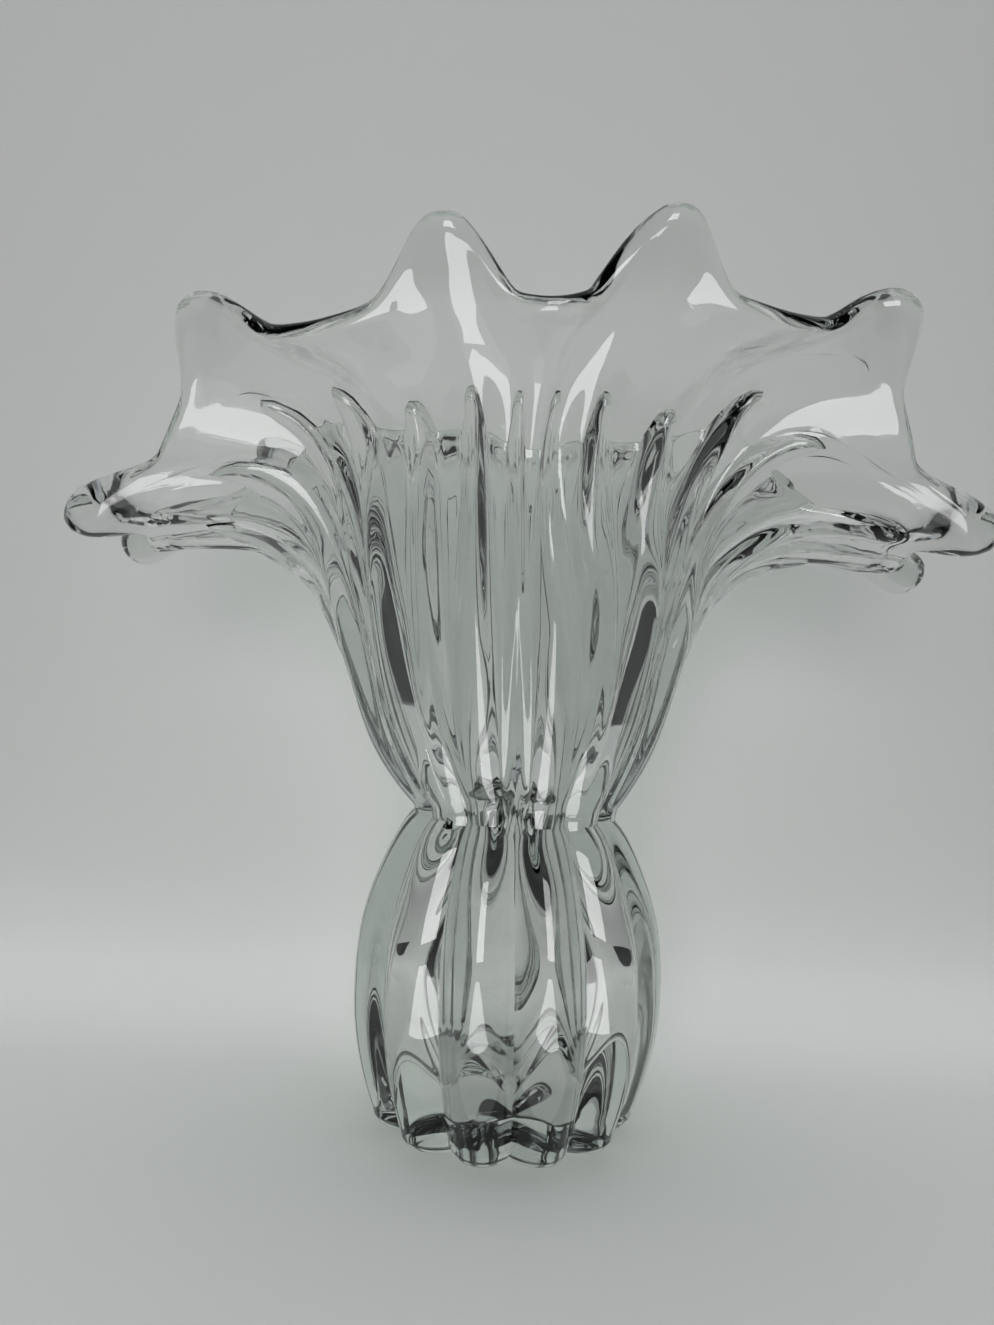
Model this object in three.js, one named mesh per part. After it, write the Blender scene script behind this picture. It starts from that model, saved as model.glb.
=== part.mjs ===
// Glass flower vase: one thick, clear, mouth-blown body.
// A lobed bulb stands on a ground flat base and draws in to a pinched neck.
// Above the neck the wall opens into a wide oval mouth, whose rim is pulled into one tip per lobe.
// Units are millimetres, +Z is up, the front of the vase faces -Y, and the origin is
// the middle of the base on the surface that the vase stands on.

import * as THREE from 'three';

// Lobes: the mould presses this many round lobes, with a narrow valley between each two
const lobeCount = 12;
const columnsPerLobe = 10;

// Bulb, measured to the crests of the lobes
const baseRadius = 37.5;
const heelRadius = 47;
const heelHeight = 7;
const bellyRadius = 55.1;
const bellyHeight = 47;
const neckRadius = 36.6;
const neckHeight = 109;
const lowerFullness = 0.87;
const shoulderFullness = 1.5;
const shoulderRadius = 44;
const neckFillet = 7;
const lobeSwirlAngle = 4.5;

// Depth of the valleys between the lobes
const baseValleyDepth = 7;
const bellyValleyDepth = 7.5;
const neckValleyDepth = 4.5;

// Hollow inside the bulb
const floorThickness = 12;
const floorRadius = 17;
const hollowRadius = 39.5;
const hollowWidestHeight = 57;
const throatRadius = 19;
const hollowWaveDepth = 3;
const hollowFullness = 0.62;

// Mouth: half width and half depth of the rim at the valleys, its heights, and how far it leans
const rimHalfWidth = 133.4;
const rimHalfDepth = 88;
const frontRimHeight = 261.1;
const sideRimHeight = 205;
const rimLean = 10.2;
const backDrop = 18;
const frontSway = 2.6;
const wallSway = 3;

// Pulled tips, measured beyond the rim line
const tipReachFront = 4.9;
const tipReachSide = 26.8;
const tipLiftFront = 18;
const tipDropSide = 6;
const tipSharpness = 1.8;
const backTipLoss = 0.5;
const tipBeadThicknessFront = 10;
const tipBeadThicknessSide = 18;
const tipBeadLength = 13;

// Flare wall: a thin inner sheet, and over it a ribbed layer that stops short of the rim in a step.
// Each rib runs on past the step in a finger.
const flareStartHeight = 114.7;
const flareStartRadius = 30.5;
const throatWall = 16;
const sheetThickness = 3.6;
const rimRollThickness = 4.6;
const rimRollLength = 6;
const fluteDepth = 1.6;
const layerAtNeck = 5;
const layerAtStep = 0.9;
const ribsPerLobe = 2;
const ribHeight = 3.4;
const ribNarrowing = 5;
const ribDriftAngle = 5;
const ribGatherAngle = 19;
const stepShareFront = 0.685;
const stepShareSide = 0.79;
const stepTiltShare = 0.025;
const ribFingerShare = 0.09;
const fingerUnevenness = 0.3;
const fingerWaveCount = 5;
const stepFootShare = 0.018;
const lobePairingAngle = 3;

// Sweep of the flare from neck to rim, as shares of the way out and of the way up
const frontSweep = [[0, 0], [0.15, 0.2], [0.27, 0.45], [0.4, 0.69], [0.61, 0.89], [1, 1]];
const sideSweep = [[0, 0], [0.112, 0.203], [0.24, 0.565], [0.39, 0.855], [0.64, 1.01], [1, 1]];

// Rings of the mesh along each stretch of the wall
const heelRings = 3;
const bulbRings = 10;
const ribbedRings = 9;
const sheetRings = 5;
const rimRings = 4;
const innerFlareRings = 10;
const hollowRings = 8;

const columnCount = lobeCount * columnsPerLobe;

// 0 in a valley and 1 on the crest of a lobe, with round crests and sharp valleys
function lobeWave(angle) {
  return Math.abs(Math.sin((angle * lobeCount) / 2));
}

// 0 in a valley and 1 on a crest, smooth in both places
function softWave(angle) {
  return 0.5 - 0.5 * Math.cos(angle * lobeCount);
}

// Angle counts from the front of the vase towards +X
function ringPoint(angle, radius, height) {
  return new THREE.Vector3(radius * Math.sin(angle), -radius * Math.cos(angle), height);
}

// Crest radius of the bulb at a height: a full belly over a round heel, drawn in to the neck
function crestRadius(height) {
  if (height < heelHeight) {
    const share = height / heelHeight;
    return baseRadius + (heelRadius - baseRadius) * Math.sqrt(1 - (1 - share) ** 2);
  }
  if (height < bellyHeight) {
    const share = (height - heelHeight) / (bellyHeight - heelHeight);
    return heelRadius + (bellyRadius - heelRadius) * Math.sin((share * Math.PI) / 2) ** lowerFullness;
  }
  const share = ((height - bellyHeight) / (neckHeight - bellyHeight)) ** shoulderFullness;
  const body = shoulderRadius + (bellyRadius - shoulderRadius) * (0.5 + 0.5 * Math.cos(Math.PI * share));
  return body - (shoulderRadius - neckRadius) * Math.exp(-(neckHeight - height) / neckFillet);
}

function valleyDepth(height) {
  if (height < bellyHeight) {
    const share = height / bellyHeight;
    return baseValleyDepth + (bellyValleyDepth - baseValleyDepth) * Math.sin((share * Math.PI) / 2);
  }
  const share = (height - bellyHeight) / (neckHeight - bellyHeight);
  return bellyValleyDepth + (neckValleyDepth - bellyValleyDepth) * share ** 2;
}

// The lobes lean round the bulb a little, straight at the neck and furthest at the base
function bulbPoint(angle, height) {
  const radius = crestRadius(height) - valleyDepth(height) * (1 - lobeWave(angle));
  const swirl = THREE.MathUtils.degToRad(lobeSwirlAngle) * (1 - height / neckHeight);
  return ringPoint(angle + swirl, radius, height);
}

// The hollow is a smooth egg over a dished floor, and repeats the lobes faintly
function hollowPoint(angle, share) {
  const height = floorThickness + (neckHeight - floorThickness) * share;
  let radius;
  if (height < hollowWidestHeight) {
    const rise = (height - floorThickness) / (hollowWidestHeight - floorThickness);
    radius = floorRadius + (hollowRadius - floorRadius) * Math.sin((rise * Math.PI) / 2) ** hollowFullness;
  } else {
    const rise = (height - hollowWidestHeight) / (neckHeight - hollowWidestHeight);
    radius = throatRadius + (hollowRadius - throatRadius) * (0.5 + 0.5 * Math.cos(Math.PI * rise));
  }
  const swirl = THREE.MathUtils.degToRad(lobeSwirlAngle) * (1 - share);
  return ringPoint(angle + swirl, radius - hollowWaveDepth * (1 - softWave(angle)), height);
}

// How far round to the side of the oval mouth an angle lies: 0 in front and behind, 1 at the sides
function sideShare(angle) {
  return Math.sin(angle) ** 2;
}

// The rim keeps its height in front and behind, and drops steeply to the sides
function sideDrop(angle) {
  return Math.abs(Math.sin(angle)) ** 5.6;
}

// 0 over the front half of the mouth and 1 at the middle of its back
function backShare(angle) {
  return THREE.MathUtils.smoothstep(-Math.cos(angle), -0.35, 1);
}

function tipShare(angle) {
  return softWave(angle) ** tipSharpness;
}

// The rim line at an angle: its height between the tips, and how far a tip runs on and up there
function rimShape(angle) {
  const tip = tipShare(angle);
  const side = Math.abs(Math.sin(angle));
  const back = backShare(angle);
  const runFront = tipReachFront / (rimHalfDepth - flareStartRadius);
  const runSide = tipReachSide / (rimHalfWidth - flareStartRadius);
  const run = tip * THREE.MathUtils.lerp(runFront, runSide, side ** 6);
  const lift = tip * THREE.MathUtils.lerp(tipLiftFront, -tipDropSide, side ** 4.4);
  const lean = rimLean * Math.sin(angle) * Math.cos(angle / 2) ** 4;
  const level = THREE.MathUtils.lerp(frontRimHeight, sideRimHeight, sideDrop(angle));
  return { run, lift: lift * (1 - backTipLoss * back), height: level + lean - backDrop * back };
}

const frontCurve = new THREE.SplineCurve(frontSweep.map(([out, up]) => new THREE.Vector2(out, up)));
const sideCurve = new THREE.SplineCurve(sideSweep.map(([out, up]) => new THREE.Vector2(out, up)));

// A point on a sweep curve, which runs straight on past its end
function sweepPoint(curve, share) {
  if (share <= 1) {
    return curve.getPoint(share);
  }
  const [before, end] = curve.points.slice(-2);
  const slope = end.clone().sub(before).multiplyScalar((curve.points.length - 1) / 2);
  return end.clone().addScaledVector(slope, share - 1);
}

// Middle of the thin sheet, share 0 at the neck and 1 at the rim
function sheetPoint(angle, share) {
  const rim = rimShape(angle);
  const reached = share + rim.run * share ** 6;
  const sweep = sweepPoint(frontCurve, reached).lerp(sweepPoint(sideCurve, reached), sideShare(angle));
  const pairing = THREE.MathUtils.degToRad(lobePairingAngle) * Math.sin(0.75 * Math.PI * share);
  const bearing = angle - pairing * Math.sin((angle * lobeCount) / 2);
  const flute = fluteDepth * (softWave(angle) - 0.5) * Math.sin(Math.PI * share);
  const halfWidth = flareStartRadius + (rimHalfWidth - flareStartRadius) * sweep.x + flute;
  const halfDepth = flareStartRadius + (rimHalfDepth - flareStartRadius) * sweep.x + flute;
  const climb = (rim.height - flareStartHeight) * sweep.y;
  const height = flareStartHeight + climb + rim.lift * share ** 8;
  const sway = frontSway * share ** 2 * Math.cos(angle) - wallSway * Math.sin(Math.PI * share);
  return new THREE.Vector3(halfWidth * Math.sin(bearing) + sway, -halfDepth * Math.cos(bearing), height);
}

// Directions on the sheet: out through the glass, and along it towards the rim
function sheetFrame(angle, share) {
  const small = 1e-3;
  const low = Math.max(0, share - small);
  const high = Math.min(1, share + small);
  const around = sheetPoint(angle + small, share).sub(sheetPoint(angle - small, share));
  const upward = sheetPoint(angle, high).sub(sheetPoint(angle, low)).normalize();
  const outward = around.cross(upward).normalize();
  return { outward, upward };
}

function fade(distance, reach) {
  return Math.exp(-((distance / reach) ** 2));
}

// Half of the sheet's thickness: even, with a rolled edge that swells to a bead on each tip
function sheetHalf(angle, distanceToRim) {
  const roll = (rimRollThickness - sheetThickness) * fade(distanceToRim, rimRollLength);
  const beadThickness = THREE.MathUtils.lerp(tipBeadThicknessFront, tipBeadThicknessSide, sideDrop(angle));
  const bead = (beadThickness - rimRollThickness) * fade(distanceToRim, tipBeadLength);
  return (sheetThickness + roll + bead * softWave(angle) ** 5) / 2;
}

function distanceToRim(angle, share) {
  return sheetPoint(angle, share).distanceTo(sheetPoint(angle, 1));
}

// One rib in each valley and one on each lobe: 1 on its line and 0 half way to the next
function ribShape(angle) {
  return 0.5 + 0.5 * Math.cos(angle * lobeCount * ribsPerLobe);
}

// Share of the flare at which the ribbed layer ends, further up on each rib
function stepShare(angle) {
  const line = THREE.MathUtils.lerp(stepShareFront, stepShareSide, Math.sin(angle) ** 8);
  const tilt = stepTiltShare * Math.sin(2 * angle);
  const finger = ribFingerShare * (1 + fingerUnevenness * Math.cos(fingerWaveCount * angle - 0.8));
  return line - tilt + finger * ribShape(angle) ** 4;
}

// Bearing of a rib part way up: the front ribs drift to one side and gather towards the middle
function ribBearing(angle, share) {
  const near = 0.5 + 0.5 * Math.cos(angle);
  const start = THREE.MathUtils.smoothstep(share, 0.2, 0.75);
  const end = THREE.MathUtils.smoothstep(share, 0.85, 1);
  const turn = ribDriftAngle + ribGatherAngle * Math.sin(angle);
  return angle - THREE.MathUtils.degToRad(turn) * near * start * (1 - end);
}

function layerThickness(angle, share) {
  const climb = Math.min(1, share / stepShare(angle));
  const body = layerAtNeck + (layerAtStep - layerAtNeck) * climb ** 3;
  const valley = neckValleyDepth * (1 - climb) ** 1.3 * (1 - lobeWave(angle));
  const rib = ribHeight * ribShape(angle) ** (1 + ribNarrowing * climb ** 2) * Math.min(1, 2.2 * climb);
  return body - valley + rib;
}

// Outer face of the flare, with the ribbed layer where covered is true
function outerFlarePoint(angle, share, covered) {
  const bearing = ribBearing(angle, share);
  const { outward } = sheetFrame(bearing, share);
  const layer = covered ? layerThickness(angle, share) : 0;
  const depth = sheetHalf(bearing, distanceToRim(bearing, share)) + layer;
  return sheetPoint(bearing, share).addScaledVector(outward, depth);
}

function innerFlarePoint(angle, share) {
  const { outward } = sheetFrame(angle, share);
  const extra = (throatWall - layerAtNeck - sheetThickness / 2) * (1 - share) ** 2.2;
  const pocket = hollowWaveDepth * (1 - softWave(angle)) * (1 - share) ** 3;
  const depth = sheetHalf(angle, distanceToRim(angle, share)) + Math.max(0, extra) + pocket;
  return sheetPoint(angle, share).addScaledVector(outward, -depth);
}

// Round edge of the rim: turn 0 is its outer face and turn 1 its inner face
function rimEdgePoint(angle, turn) {
  const { outward, upward } = sheetFrame(angle, 1);
  const half = sheetHalf(angle, 0);
  const bend = Math.PI * turn;
  return sheetPoint(angle, 1)
    .addScaledVector(outward, half * Math.cos(bend))
    .addScaledVector(upward, half * Math.sin(bend));
}

// One closed ring of points at a place on the wall
function makeRing(pointAt) {
  const ring = [];
  for (let column = 0; column < columnCount; column += 1) {
    ring.push(pointAt((column / columnCount) * 2 * Math.PI));
  }
  return ring;
}

// All rings in order: up the outside, over the rim and down the inside
function wallRings() {
  const rings = [];
  for (let i = 0; i <= heelRings; i += 1) {
    const height = heelHeight * (i / heelRings) ** 2;
    rings.push(makeRing((angle) => bulbPoint(angle, height)));
  }
  for (let i = 1; i <= bulbRings; i += 1) {
    const height = heelHeight + (neckHeight - heelHeight) * (i / bulbRings);
    rings.push(makeRing((angle) => bulbPoint(angle, height)));
  }
  for (let i = 1; i <= ribbedRings; i += 1) {
    rings.push(makeRing((angle) => outerFlarePoint(angle, (stepShare(angle) * i) / ribbedRings, true)));
  }
  for (let i = 0; i < sheetRings; i += 1) {
    rings.push(makeRing((angle) => {
      const foot = stepShare(angle) + stepFootShare;
      return outerFlarePoint(angle, foot + ((1 - foot) * i) / sheetRings, false);
    }));
  }
  for (let i = 0; i <= rimRings; i += 1) {
    rings.push(makeRing((angle) => rimEdgePoint(angle, i / rimRings)));
  }
  for (let i = 1; i <= innerFlareRings; i += 1) {
    rings.push(makeRing((angle) => innerFlarePoint(angle, 1 - i / innerFlareRings)));
  }
  for (let i = 0; i <= hollowRings; i += 1) {
    const share = (1 - i / hollowRings) ** 1.3;
    rings.push(makeRing((angle) => hollowPoint(angle, share)));
  }
  return rings;
}

// Closed surface through the rings, with a point on the axis at each end
function closedGeometry(rings) {
  const positions = [];
  const indices = [];
  rings.flat().forEach((point) => positions.push(point.x, point.y, point.z));
  const underside = rings.length * columnCount;
  const floor = underside + 1;
  positions.push(0, 0, 0);
  positions.push(0, 0, floorThickness);
  for (let column = 0; column < columnCount; column += 1) {
    const next = (column + 1) % columnCount;
    indices.push(underside, next, column);
    for (let row = 0; row < rings.length - 1; row += 1) {
      const lower = row * columnCount;
      const upper = lower + columnCount;
      indices.push(lower + column, lower + next, upper + next);
      indices.push(lower + column, upper + next, upper + column);
    }
    const last = (rings.length - 1) * columnCount;
    indices.push(floor, last + column, last + next);
  }
  const geometry = new THREE.BufferGeometry();
  geometry.setAttribute('position', new THREE.Float32BufferAttribute(positions, 3));
  geometry.setIndex(indices);
  geometry.computeVertexNormals();
  return geometry;
}

// Clear glass with a faint grey-green tint
const clearGlass = new THREE.MeshStandardMaterial({
  color: 0xdfe6e2,
  roughness: 0.02,
  metalness: 0,
  transparent: true,
  opacity: 0.35,
});

const glassVase = new THREE.Mesh(closedGeometry(wallRings()), clearGlass);
glassVase.name = 'glass_vase';

const vase = new THREE.Group();
vase.add(glassVase);

export default vase;
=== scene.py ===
import math

import bpy
import numpy as np
from mathutils import Matrix, Vector


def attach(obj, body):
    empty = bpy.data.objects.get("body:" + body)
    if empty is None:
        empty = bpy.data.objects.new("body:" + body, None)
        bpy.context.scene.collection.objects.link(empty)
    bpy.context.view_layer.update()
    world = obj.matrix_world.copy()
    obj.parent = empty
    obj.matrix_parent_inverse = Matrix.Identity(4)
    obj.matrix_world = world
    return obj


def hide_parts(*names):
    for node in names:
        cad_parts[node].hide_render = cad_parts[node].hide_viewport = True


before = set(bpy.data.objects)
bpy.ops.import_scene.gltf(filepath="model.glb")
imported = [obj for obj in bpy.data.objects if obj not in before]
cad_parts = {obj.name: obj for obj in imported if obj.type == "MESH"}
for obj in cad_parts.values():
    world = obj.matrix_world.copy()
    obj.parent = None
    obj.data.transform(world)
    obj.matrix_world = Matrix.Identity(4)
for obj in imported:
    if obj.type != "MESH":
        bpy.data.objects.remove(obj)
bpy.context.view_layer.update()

# Glass vase: one mouth-blown body of thick clear crystal. The first gather makes the bulb, the throat and
# the thin sheet of the flare, a second one over it ends half way up in a ribbed step, and the hot rim is
# pulled into twelve tips. Lengths are millimetres, angles go round from the front, and a share is 0 to 1.
LOBES = 12
COLUMNS = 384
lobe_angle = 2 * math.pi / LOBES

# The bulb: round lobes with narrow valleys, from the flat base over the belly to the pinched neck
base_radius, heel_radius, heel_height = 37.5, 47.0, 7.0
belly_radius, belly_height, belly_fullness = 55.1, 47.0, 0.87
shoulder_radius, shoulder_fullness = 44.0, 1.5
neck_radius, neck_height, neck_fillet = 36.6, 109.0, 7.0
base_valley, belly_valley, neck_valley = 7.0, 7.5, 4.5
lobe_swirl = math.radians(4.5)


def lobe_wave(angle):
    return np.abs(np.sin(angle * LOBES / 2))


def soft_wave(angle):
    return 0.5 - 0.5 * np.cos(angle * LOBES)


def ring(angle, radius, height):
    return np.stack([radius * np.sin(angle), -radius * np.cos(angle), height + 0 * angle], axis=-1)


def crest_radius(height):
    if height < heel_height:
        return base_radius + (heel_radius - base_radius) * math.sqrt(1 - (1 - height / heel_height) ** 2)
    if height < belly_height:
        share = (height - heel_height) / (belly_height - heel_height)
        return heel_radius + (belly_radius - heel_radius) * math.sin(share * math.pi / 2) ** belly_fullness
    share = ((height - belly_height) / (neck_height - belly_height)) ** shoulder_fullness
    body = shoulder_radius + (belly_radius - shoulder_radius) * (0.5 + 0.5 * math.cos(math.pi * share))
    return body - (shoulder_radius - neck_radius) * math.exp(-(neck_height - height) / neck_fillet)


def valley_depth(height):
    if height < belly_height:
        return base_valley + (belly_valley - base_valley) * math.sin(height / belly_height * math.pi / 2)
    share = (height - belly_height) / (neck_height - belly_height)
    return belly_valley + (neck_valley - belly_valley) * share**2


def bulb_ring(angle, height):
    radius = crest_radius(height) - valley_depth(height) * (1 - lobe_wave(angle))
    return ring(angle + lobe_swirl * (1 - height / neck_height), radius, height)


# The hollow: an egg-shaped chamber over a thick floor, with a shallow flute behind each lobe
floor_thickness, floor_radius = 12.0, 17.0
hollow_radius, hollow_widest, hollow_fullness, hollow_wave = 39.5, 57.0, 0.62, 1.5
throat_radius = 19.0


def hollow_ring(angle, share):
    height = floor_thickness + (neck_height - floor_thickness) * share
    if height < hollow_widest:
        rise = (height - floor_thickness) / (hollow_widest - floor_thickness)
        swell = math.sin(rise * math.pi / 2) ** hollow_fullness
        radius = floor_radius + (hollow_radius - floor_radius) * swell
    else:
        rise = (height - hollow_widest) / (neck_height - hollow_widest)
        radius = throat_radius + (hollow_radius - throat_radius) * (0.5 + 0.5 * math.cos(math.pi * rise))
    radius = radius - hollow_wave * (1 - soft_wave(angle))
    return ring(angle + lobe_swirl * (1 - share), radius, height)


# The sheet: the middle of the flare's wall. It sweeps out from the neck, stands tall in front and behind,
# drops to the sides, and is drawn out at each tip. A focus is a power that holds an effect to one place.
flare_height, flare_radius = 114.7, 30.5
rim_half_width, rim_half_depth = 133.4, 88.0
front_rim_height, side_rim_height, side_focus = 261.1, 205.0, 5.6
rim_lean, rim_lean_focus = 10.2, 4
back_drop, back_start, back_tip_loss = 18.0, -0.35, 0.5
tip_sharpness, tip_fullness = 3.6, 1.7
tip_run_front, tip_run_side, tip_run_side_focus, tip_run_rim_focus = 0.083, 0.238, 6, 6
tip_lift_front, tip_drop_side, tip_lift_side_focus, tip_lift_rim_focus = 18.0, 6.0, 4.4, 8
front_sway, wall_sway = 2.6, 3.0
flute_depth = 1.6
sheet_ripple, ripple_start, ripple_full = 2.4, 0.25, 0.7
pairing_angle, pairing_reach = math.radians(3.0), 0.75
front_sweep = [(0, 0), (0.15, 0.2), (0.27, 0.45), (0.4, 0.69), (0.61, 0.89), (1, 1)]
side_sweep = [(0, 0), (0.112, 0.203), (0.24, 0.565), (0.39, 0.855), (0.64, 1.01), (1, 1)]


def smooth(value, low, high):
    t = np.clip((value - low) / (high - low), 0, 1)
    return t * t * (3 - 2 * t)


def spline(points, share):
    # A smooth curve through the points, and straight on past its end
    points = np.array(points, float)
    along = np.clip(share, 0, 1) * (len(points) - 1)
    k = np.minimum(along.astype(int), len(points) - 2)
    w = (along - k)[..., None]
    a = points[np.maximum(k - 1, 0)]
    b = points[k]
    c = points[k + 1]
    d = points[np.minimum(k + 2, len(points) - 1)]
    u, v = (c - a) / 2, (d - b) / 2
    on = (2 * b - 2 * c + u + v) * w**3 + (-3 * b + 3 * c - 2 * u - v) * w**2 + u * w + b
    past = (points[-1] - points[-2]) / 2 * (len(points) - 1)
    return on + np.maximum(0, share - 1)[..., None] * past


def sheet(angle, share):
    side = np.abs(np.sin(angle))
    back = smooth(-np.cos(angle), back_start, 1)
    held = np.clip(share, 0, 1)
    tip = 1 - (1 - soft_wave(angle) ** tip_sharpness) ** tip_fullness
    run = tip_run_front + (tip_run_side - tip_run_front) * side**tip_run_side_focus
    lift = tip_lift_front - (tip_lift_front + tip_drop_side) * side**tip_lift_side_focus
    lift = lift * (1 - back_tip_loss * back)
    slant = rim_lean * np.sin(angle) * np.cos(angle / 2) ** rim_lean_focus
    drop = (front_rim_height - side_rim_height) * side**side_focus
    rim_height = front_rim_height - drop + slant - back_drop * back
    reached = share + tip * run * held**tip_run_rim_focus
    swept = spline(front_sweep, reached)
    swept = swept + (spline(side_sweep, reached) - swept) * (side**2)[..., None]
    pairing = pairing_angle * np.sin(pairing_reach * math.pi * held) * np.sin(angle * LOBES / 2)
    bearing = angle - pairing
    flute = flute_depth * (soft_wave(angle) - 0.5) * np.sin(math.pi * held)
    out_x = flare_radius + (rim_half_width - flare_radius) * swept[..., 0] + flute
    out_y = flare_radius + (rim_half_depth - flare_radius) * swept[..., 0] + flute
    raised = tip * lift * held**tip_lift_rim_focus
    height = flare_height + (rim_height - flare_height) * swept[..., 1] + raised
    sway = front_sway * held**2 * np.cos(angle) - wall_sway * np.sin(math.pi * held)
    return np.stack([out_x * np.sin(bearing) + sway, -out_y * np.cos(bearing), height], axis=-1)


def unit(vectors):
    return vectors / np.linalg.norm(vectors, axis=-1, keepdims=True)


def sheet_frame(angle, share):
    small = 1e-3
    around = sheet(angle + small, share) - sheet(angle - small, share)
    upward = unit(sheet(angle, np.minimum(share + small, 1)) - sheet(angle, np.maximum(share - small, 0)))
    return unit(np.cross(around, upward)), upward


def sheet_middle(angle, share):
    # Two shallow ripples to each lobe, which turn a reflection on the sheet into tall bands
    out, upward = sheet_frame(angle, share)
    ripple = sheet_ripple * (0.5 - 0.5 * np.cos(2 * LOBES * angle)) * smooth(share, ripple_start, ripple_full)
    return sheet(angle, share) - out * ripple[:, None], out, upward


# The wall's thickness: a thin sheet with a rolled rim, which swells to a bead at each tip
sheet_thickness, rim_roll, rim_roll_length = 3.6, 4.9, 5.0
tip_bead_front, tip_bead_side, tip_bead_length = 9.3, 20.0, 13.0
bead_focus_front, bead_focus_side = 5, 3


def sheet_half(angle, share):
    away = np.linalg.norm(sheet(angle, share) - sheet(angle, np.ones_like(share)), axis=-1)
    roll = (rim_roll - sheet_thickness) * np.exp(-((away / rim_roll_length) ** 2))
    side = np.abs(np.sin(angle)) ** side_focus
    bead = tip_bead_front + (tip_bead_side - tip_bead_front) * side - rim_roll
    bead = bead * np.exp(-((away / tip_bead_length) ** 2))
    focus = bead_focus_front - (bead_focus_front - bead_focus_side) * side
    return (sheet_thickness + roll + bead * soft_wave(angle) ** focus) / 2


# The second gather: round ribs with crisp valleys, two to a lobe, which draw in to the front as they rise.
# It thins towards its step, where each rib runs on as a finger. Its climb is 0 at the neck, 1 at the step.
layer_at_neck, layer_at_step, layer_focus = 5.0, 0.5, 3
valley_focus = 1.1
rib_height, rib_start, rib_valley = 2.9, 2.2, 0.004
rib_narrowing, rib_narrowing_focus = 6, 3
rib_spacing = lobe_angle / 2
rib_drift, rib_drift_side = math.radians(5.0), math.radians(19.0)
drift_start, drift_full, drift_end = 0.2, 0.75, 0.85
far_rib_loss, far_rib_start, far_rib_full = 0.5, -0.2, 0.3
step_front, step_side, step_side_focus, step_slant = 0.685, 0.79, 8, 0.025
finger_length, finger_width = 0.09, 0.45
finger_change, finger_rounds, finger_turn = 0.3, 5, 0.8


def rib(angle):
    return 0.5 + 0.5 * np.cos(2 * math.pi * angle / rib_spacing)


def rib_round(angle):
    return np.sqrt(rib(angle) + rib_valley)


def step_share(angle):
    line = step_front + (step_side - step_front) * np.sin(angle) ** step_side_focus
    line = line - step_slant * np.sin(2 * angle)
    length = finger_length * (1 + finger_change * np.cos(finger_rounds * angle - finger_turn))
    return line + length * smooth(rib(angle), finger_width, 1)


def leaning(angle, share):
    near = 0.5 + 0.5 * np.cos(angle)
    rise = smooth(share, drift_start, drift_full) * (1 - smooth(share, drift_end, 1))
    return angle - (rib_drift + rib_drift_side * np.sin(angle)) * near * rise


def outer_ring(angle, share, covered):
    leaned = leaning(angle, share)
    middle, out, _ = sheet_middle(leaned, share)
    depth = sheet_half(leaned, share)
    if covered > 0:
        climb = np.minimum(1, share / step_share(angle))
        body = layer_at_neck + (layer_at_step - layer_at_neck) * climb**layer_focus
        valley = neck_valley * (1 - climb) ** valley_focus * (1 - lobe_wave(angle))
        narrowed = 1 + rib_narrowing * climb**rib_narrowing_focus
        ridge = rib_height * rib_round(angle) ** narrowed * np.minimum(1, rib_start * climb)
        ridge = ridge * (1 - far_rib_loss * smooth(-np.cos(angle), far_rib_start, far_rib_full))
        depth = depth + covered * (body - valley + ridge)
    return middle + out * depth[:, None]


# The lining: the inside of the flare, from the rim down to the narrow throat
throat_wall, throat_focus, flute_focus = 16.0, 2.2, 3


def inner_ring(angle, share):
    middle, out, _ = sheet_middle(angle, share)
    extra = (throat_wall - layer_at_neck - sheet_thickness / 2) * (1 - share) ** throat_focus
    flute = hollow_wave * (1 - soft_wave(angle)) * (1 - share) ** flute_focus
    depth = sheet_half(angle, share) + extra + flute
    return middle - out * depth[:, None]


def rim_ring(angle, turn):
    top = np.ones_like(angle)
    middle, out, upward = sheet_middle(angle, top)
    half = sheet_half(angle, top)[:, None]
    bend = math.pi * turn
    return middle + out * half * math.cos(bend) + upward * half * math.sin(bend)


# The rings run up the outside, over the rim and down the inside to the floor of the hollow
heel_rows, bulb_rows, layer_rows, step_rows = 6, 40, 44, 8
sheet_rows, rim_rows, lining_rows, hollow_rows = 36, 12, 44, 40
step_round, step_gap, floor_crowding = 0.035, 0.004, 1.3
millimetre, smooth_below = 0.001, math.radians(48)

angles = np.arange(COLUMNS) / COLUMNS * 2 * math.pi
whole = np.ones(COLUMNS)
steps = step_share(angles)
rings = []
for i in range(heel_rows + 1):
    rings.append(bulb_ring(angles, heel_height * (i / heel_rows) ** 2))
for i in range(1, bulb_rows + 1):
    rings.append(bulb_ring(angles, heel_height + (neck_height - heel_height) * i / bulb_rows))
for i in range(1, layer_rows + 1):
    rings.append(outer_ring(angles, steps * (1 - step_round) * i / layer_rows, 1.0))
for i in range(1, step_rows + 1):
    turn = math.pi / 2 * i / step_rows
    share = 1 - step_round + step_round * math.sin(turn)
    rings.append(outer_ring(angles, steps * share, max(0.0, math.cos(turn))))
for i in range(sheet_rows):
    foot = steps + step_gap
    rings.append(outer_ring(angles, foot + (1 - foot) * i / sheet_rows, 0))
for i in range(rim_rows + 1):
    rings.append(rim_ring(angles, i / rim_rows))
for i in range(1, lining_rows + 1):
    rings.append(inner_ring(angles, whole * (1 - i / lining_rows)))
for i in range(hollow_rows + 1):
    rings.append(hollow_ring(angles, (1 - i / hollow_rows) ** floor_crowding))
rows = len(rings)
points = np.array(rings) * millimetre

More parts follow.
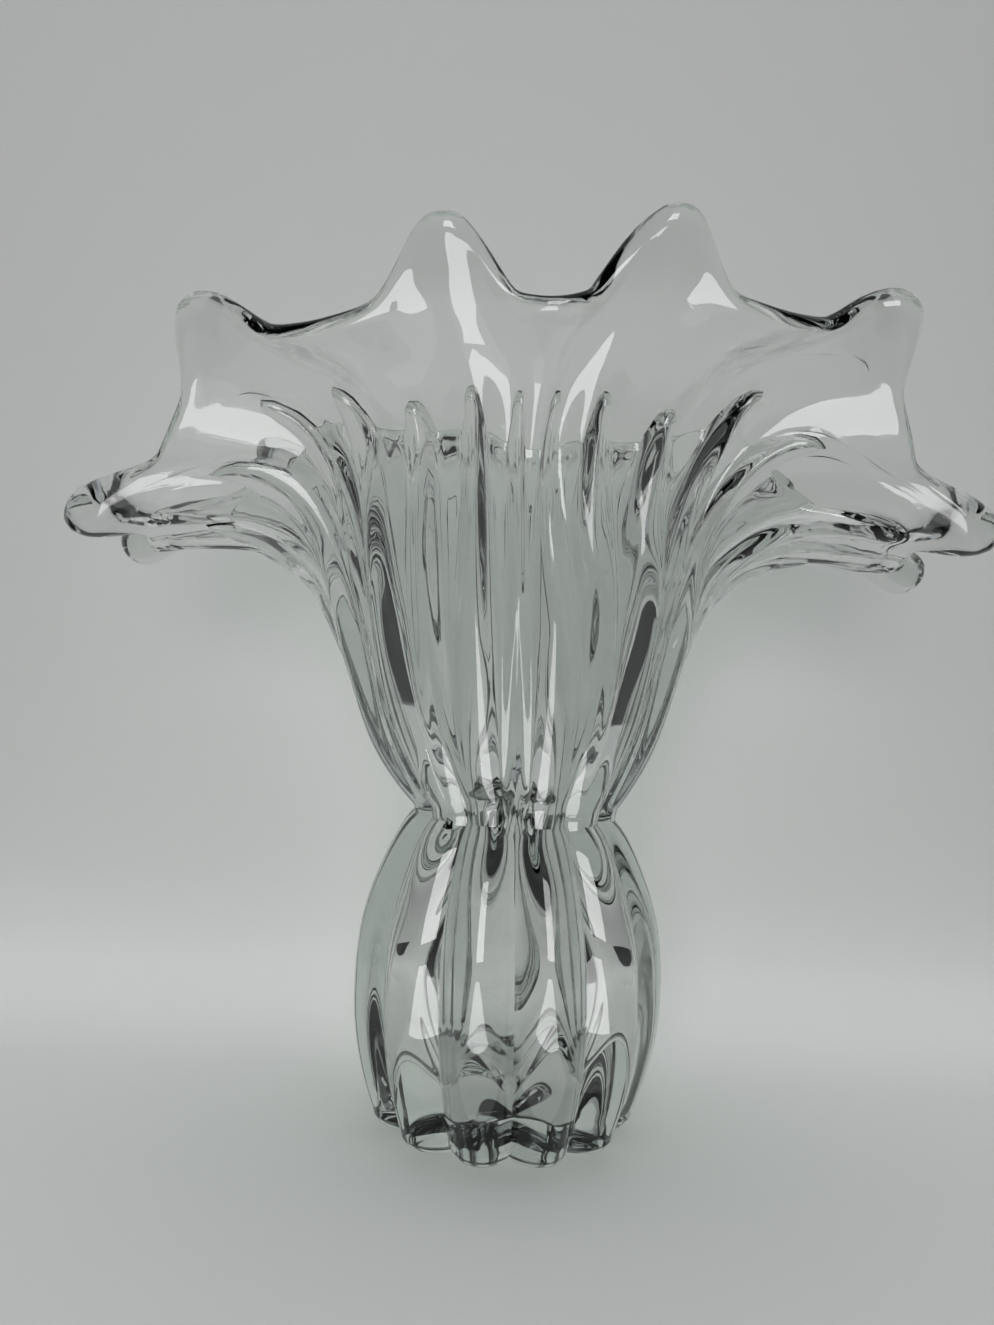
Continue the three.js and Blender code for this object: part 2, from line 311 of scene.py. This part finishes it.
# A flat grid takes the rings as its rows, is joined at its two sides, and is closed at base and floor
bpy.ops.object.select_all(action="DESELECT")
bpy.ops.mesh.primitive_grid_add(x_subdivisions=COLUMNS, y_subdivisions=rows - 1, size=1)
vase = bpy.context.object
vase.name = "glass_vase_body"
vase.data.name = "glass_vase_body"
flat = np.empty(len(vase.data.vertices) * 3)
vase.data.vertices.foreach_get("co", flat)
flat = flat.reshape(-1, 3)
column = np.rint((flat[:, 0] + 0.5) * COLUMNS).astype(int) % COLUMNS
row = np.rint((flat[:, 1] + 0.5) * (rows - 1)).astype(int)
vase.data.vertices.foreach_set("co", points[row, column].ravel())
vase.data.update()
bpy.ops.object.mode_set(mode="EDIT")
bpy.ops.mesh.select_all(action="SELECT")
bpy.ops.mesh.remove_doubles(threshold=1e-6)
bpy.ops.mesh.select_all(action="DESELECT")
bpy.ops.mesh.select_mode(type="EDGE")
bpy.ops.mesh.select_non_manifold()
bpy.ops.mesh.edge_face_add()
bpy.ops.mesh.select_mode(type="FACE")
bpy.ops.mesh.poke()
bpy.ops.mesh.select_all(action="SELECT")
bpy.ops.mesh.normals_make_consistent(inside=False)
bpy.ops.object.mode_set(mode="OBJECT")
bpy.ops.object.shade_smooth_by_angle(angle=smooth_below)

# Clear crystal with a faint grey-green tint, darker where it is thick, that casts a light shadow
crystal = bpy.data.materials.new("clear_crystal")
crystal.use_nodes = True
nodes, links = crystal.node_tree.nodes, crystal.node_tree.links
nodes.clear()
glass = nodes.new("ShaderNodeBsdfPrincipled")
glass.inputs["Base Color"].default_value = (0.925, 0.932, 0.925, 1)
glass.inputs["Roughness"].default_value = 0.0
glass.inputs["IOR"].default_value = 1.52
glass.inputs["Transmission Weight"].default_value = 1.0
clear = nodes.new("ShaderNodeBsdfTransparent")
clear.inputs["Color"].default_value = (0.83, 0.85, 0.84, 1)
path = nodes.new("ShaderNodeLightPath")
mix = nodes.new("ShaderNodeMixShader")
output = nodes.new("ShaderNodeOutputMaterial")
absorb = nodes.new("ShaderNodeVolumeAbsorption")
absorb.inputs["Color"].default_value = (0.48, 0.55, 0.5, 1)
absorb.inputs["Density"].default_value = 7.0
links.new(path.outputs["Is Shadow Ray"], mix.inputs["Fac"])
links.new(glass.outputs["BSDF"], mix.inputs[1])
links.new(clear.outputs["BSDF"], mix.inputs[2])
links.new(mix.outputs["Shader"], output.inputs["Surface"])
links.new(absorb.outputs["Volume"], output.inputs["Volume"])
vase.data.materials.append(crystal)
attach(vase, "root")
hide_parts("glass_vase")

# Sweep: the studio's floor and round wall, one painted board with a soft matt face, in metres from here on.
# It is pale under and behind the vase, and dark in front and low at the sides: painted shade that stands
# in for the unlit room around the vase and draws dark lines in the glass.
room_radius, room_height, room_corner, floor_depth = 2.0, 2.6, 0.5, 0.002
pale_paint, painted_shade_colour, paint_roughness = (0.62, 0.63, 0.62, 1), (0.08, 0.08, 0.08, 1), 0.9
painted_shade_start, painted_shade_full = -0.14, -0.32
low_wall_height, low_wall_shift = 0.3, 0.3
side_start, side_end, side_shift = 0.26, 0.6, 2.0
high_wall_start, high_wall_end, high_wall_shift = 0.9, 1.6, 2.3
faces_up, near_floor = 0.9, 0.01

bpy.ops.object.select_all(action="DESELECT")
bpy.ops.mesh.primitive_cylinder_add(
    vertices=96,
    radius=room_radius,
    depth=room_height,
    location=(0, 0, room_height / 2 - floor_depth),
    end_fill_type="NGON",
)
sweep = bpy.context.object
sweep.name = "sweep"
bpy.ops.object.transform_apply(location=True, rotation=False, scale=False)

# The top is left open, and the floor turns up into the wall in a wide curve
bpy.ops.object.mode_set(mode="EDIT")
bpy.ops.mesh.select_mode(type="FACE")
bpy.ops.mesh.select_all(action="DESELECT")
bpy.ops.object.mode_set(mode="OBJECT")
for face in sweep.data.polygons:
    face.select = face.normal.z > faces_up
bpy.ops.object.mode_set(mode="EDIT")
bpy.ops.mesh.delete(type="ONLY_FACE")
bpy.ops.mesh.select_mode(type="EDGE")
bpy.ops.mesh.select_all(action="DESELECT")
bpy.ops.object.mode_set(mode="OBJECT")
for edge in sweep.data.edges:
    edge.select = all(sweep.data.vertices[v].co.z < near_floor for v in edge.vertices)
bpy.ops.object.mode_set(mode="EDIT")
bpy.ops.mesh.bevel(offset=room_corner, segments=16, affect="EDGES")
bpy.ops.mesh.select_all(action="SELECT")
bpy.ops.mesh.normals_make_consistent(inside=True)
bpy.ops.object.mode_set(mode="OBJECT")
bpy.ops.object.shade_smooth()

# Painted shade: the paint darkens towards the front, where the room is unlit. The low wall and the sides
# count as further forward than they are, and the high wall as further back.
board = bpy.data.materials.new("pale_board_with_painted_shade")
board.use_nodes = True
nodes, links = board.node_tree.nodes, board.node_tree.links
paint = nodes["Principled BSDF"]
paint.inputs["Roughness"].default_value = paint_roughness


def ramp(value, low, high, reach):
    node = nodes.new("ShaderNodeMapRange")
    node.inputs["From Min"].default_value = low
    node.inputs["From Max"].default_value = high
    node.inputs["To Max"].default_value = reach
    links.new(value, node.inputs["Value"])
    return node.outputs["Result"]


def reckon(operation, *values):
    node = nodes.new("ShaderNodeMath")
    node.operation = operation
    for value, socket in zip(values, node.inputs):
        links.new(value, socket)
    return node.outputs["Value"]


position = nodes.new("ShaderNodeTexCoord")
split = nodes.new("ShaderNodeSeparateXYZ")
links.new(position.outputs["Object"], split.inputs["Vector"])
aside = reckon("ABSOLUTE", split.outputs["X"])
back = reckon("ADD", split.outputs["Y"], ramp(split.outputs["Z"], 0, low_wall_height, -low_wall_shift))
back = reckon("ADD", back, ramp(aside, side_start, side_end, -side_shift))
back = reckon("ADD", back, ramp(split.outputs["Z"], high_wall_start, high_wall_end, high_wall_shift))
# The mix lays the dark painted shade over the pale paint
shade = nodes.new("ShaderNodeMix")
shade.data_type = "RGBA"
shade.inputs["A"].default_value = pale_paint
shade.inputs["B"].default_value = painted_shade_colour
links.new(ramp(back, painted_shade_start, painted_shade_full, 1), shade.inputs["Factor"])
links.new(shade.outputs["Result"], paint.inputs["Base Color"])
sweep.data.materials.append(board)

# Backdrop: a sheet of pale card that lies under the vase, takes its soft shadow and bends up close behind
# it. It is narrow at its foot and wide above, and it is clear when seen from behind.
card_front, card_length, card_sunk = -0.14, 1.5, 0.0004
card_floor_run, card_bend_run, card_bend_radius = 0.19, 0.08, 0.055
card_foot_width, card_top_width = 0.6, 1.8
card_widening_height, card_widening_run = 0.115, 0.1

bpy.ops.mesh.primitive_grid_add(x_subdivisions=2, y_subdivisions=60, size=1)
card = bpy.context.object
card.name = "backdrop"
for point in card.data.vertices:
    along = (point.co.y + 0.5) * card_length
    bend = min(max((along - card_floor_run) / card_bend_run, 0), 1) * math.pi / 2
    upright = max(0, along - card_floor_run - card_bend_run)
    point.co.y = card_front + min(along, card_floor_run) + card_bend_radius * math.sin(bend)
    point.co.z = -card_sunk + card_bend_radius * (1 - math.cos(bend)) + upright
    widened = min(max((point.co.z - card_widening_height) / card_widening_run, 0), 1)
    point.co.x *= card_foot_width + (card_top_width - card_foot_width) * widened
bpy.ops.object.shade_smooth()

card_board = bpy.data.materials.new("pale_card")
card_board.use_nodes = True
nodes, links = card_board.node_tree.nodes, card_board.node_tree.links
paint = nodes["Principled BSDF"]
paint.inputs["Base Color"].default_value = pale_paint
paint.inputs["Roughness"].default_value = paint_roughness
behind = nodes.new("ShaderNodeNewGeometry")
through = nodes.new("ShaderNodeBsdfTransparent")
choose = nodes.new("ShaderNodeMixShader")
links.new(behind.outputs["Backfacing"], choose.inputs["Fac"])
links.new(paint.outputs["BSDF"], choose.inputs[1])
links.new(through.outputs["BSDF"], choose.inputs[2])
links.new(choose.outputs["Shader"], nodes["Material Output"].inputs["Surface"])
card.data.materials.append(card_board)
card.visible_shadow = False


# Lamps: two soft boxes light the scene from above and from the front. Three panels, like panes of a window,
# add no light of their own and show only as pale reflections on the glass.
def soft_box(name, place, target, size, power, lights=True):
    lamp = bpy.data.lights.new(name, "AREA")
    lamp.shape = "RECTANGLE"
    lamp.size, lamp.size_y = size
    lamp.energy = power
    box = bpy.data.objects.new(name, lamp)
    bpy.context.scene.collection.objects.link(box)
    aim = (Vector(target) - Vector(place)).to_track_quat("-Z", "Y")
    box.matrix_world = Matrix.Translation(place) @ aim.to_matrix().to_4x4()
    box.visible_camera = False
    box.visible_transmission = False
    box.visible_glossy = not lights
    box.visible_diffuse = lights


soft_box("overhead", (0, 0.25, 1.95), (0, 0.35, 0), size=(1.4, 1.2), power=15)
soft_box("front", (-0.12, -1.3, 0.42), (0, 0.1, 0.15), size=(0.7, 0.7), power=11.3)
soft_box("window", (0.1, -1.2, 0.5), (0.1, 0, 0.5), size=(0.5, 0.75), power=9, lights=False)
soft_box("floor_pane", (0, -0.38, 0.004), (0, -0.38, 1), size=(0.13, 0.5), power=1.25, lights=False)
soft_box("near_pane", (-0.01, -0.11, 0.004), (-0.01, -0.11, 1), size=(0.15, 0.1), power=0.03, lights=False)

# World: a faint, slightly cool light from above, which comes in over the open top of the round wall and
# softens the shadows, as daylight in a large room does.
world = bpy.data.worlds.new("studio")
world.use_nodes = True
world.node_tree.nodes["Background"].inputs["Color"].default_value = (0.9, 0.95, 1.0, 1)
world.node_tree.nodes["Background"].inputs["Strength"].default_value = 0.4
bpy.context.scene.world = world

# Camera: close in front of the vase with a wide lens, level and a little above the vase's half height, and
# turned slightly about its own line of sight.
camera_place, camera_roll = (-0.0087, -0.36, 0.1627), math.radians(2.7)
camera = bpy.data.cameras.new("camera")
camera.lens = 27.03
camera.sensor_width = 36
view = bpy.data.objects.new("camera", camera)
bpy.context.scene.collection.objects.link(view)
level = Matrix.Rotation(math.radians(90), 4, "X")
view.matrix_world = Matrix.Translation(camera_place) @ level @ Matrix.Rotation(camera_roll, 4, "Z")
bpy.context.scene.camera = view
bpy.context.scene.view_settings.view_transform = "Standard"
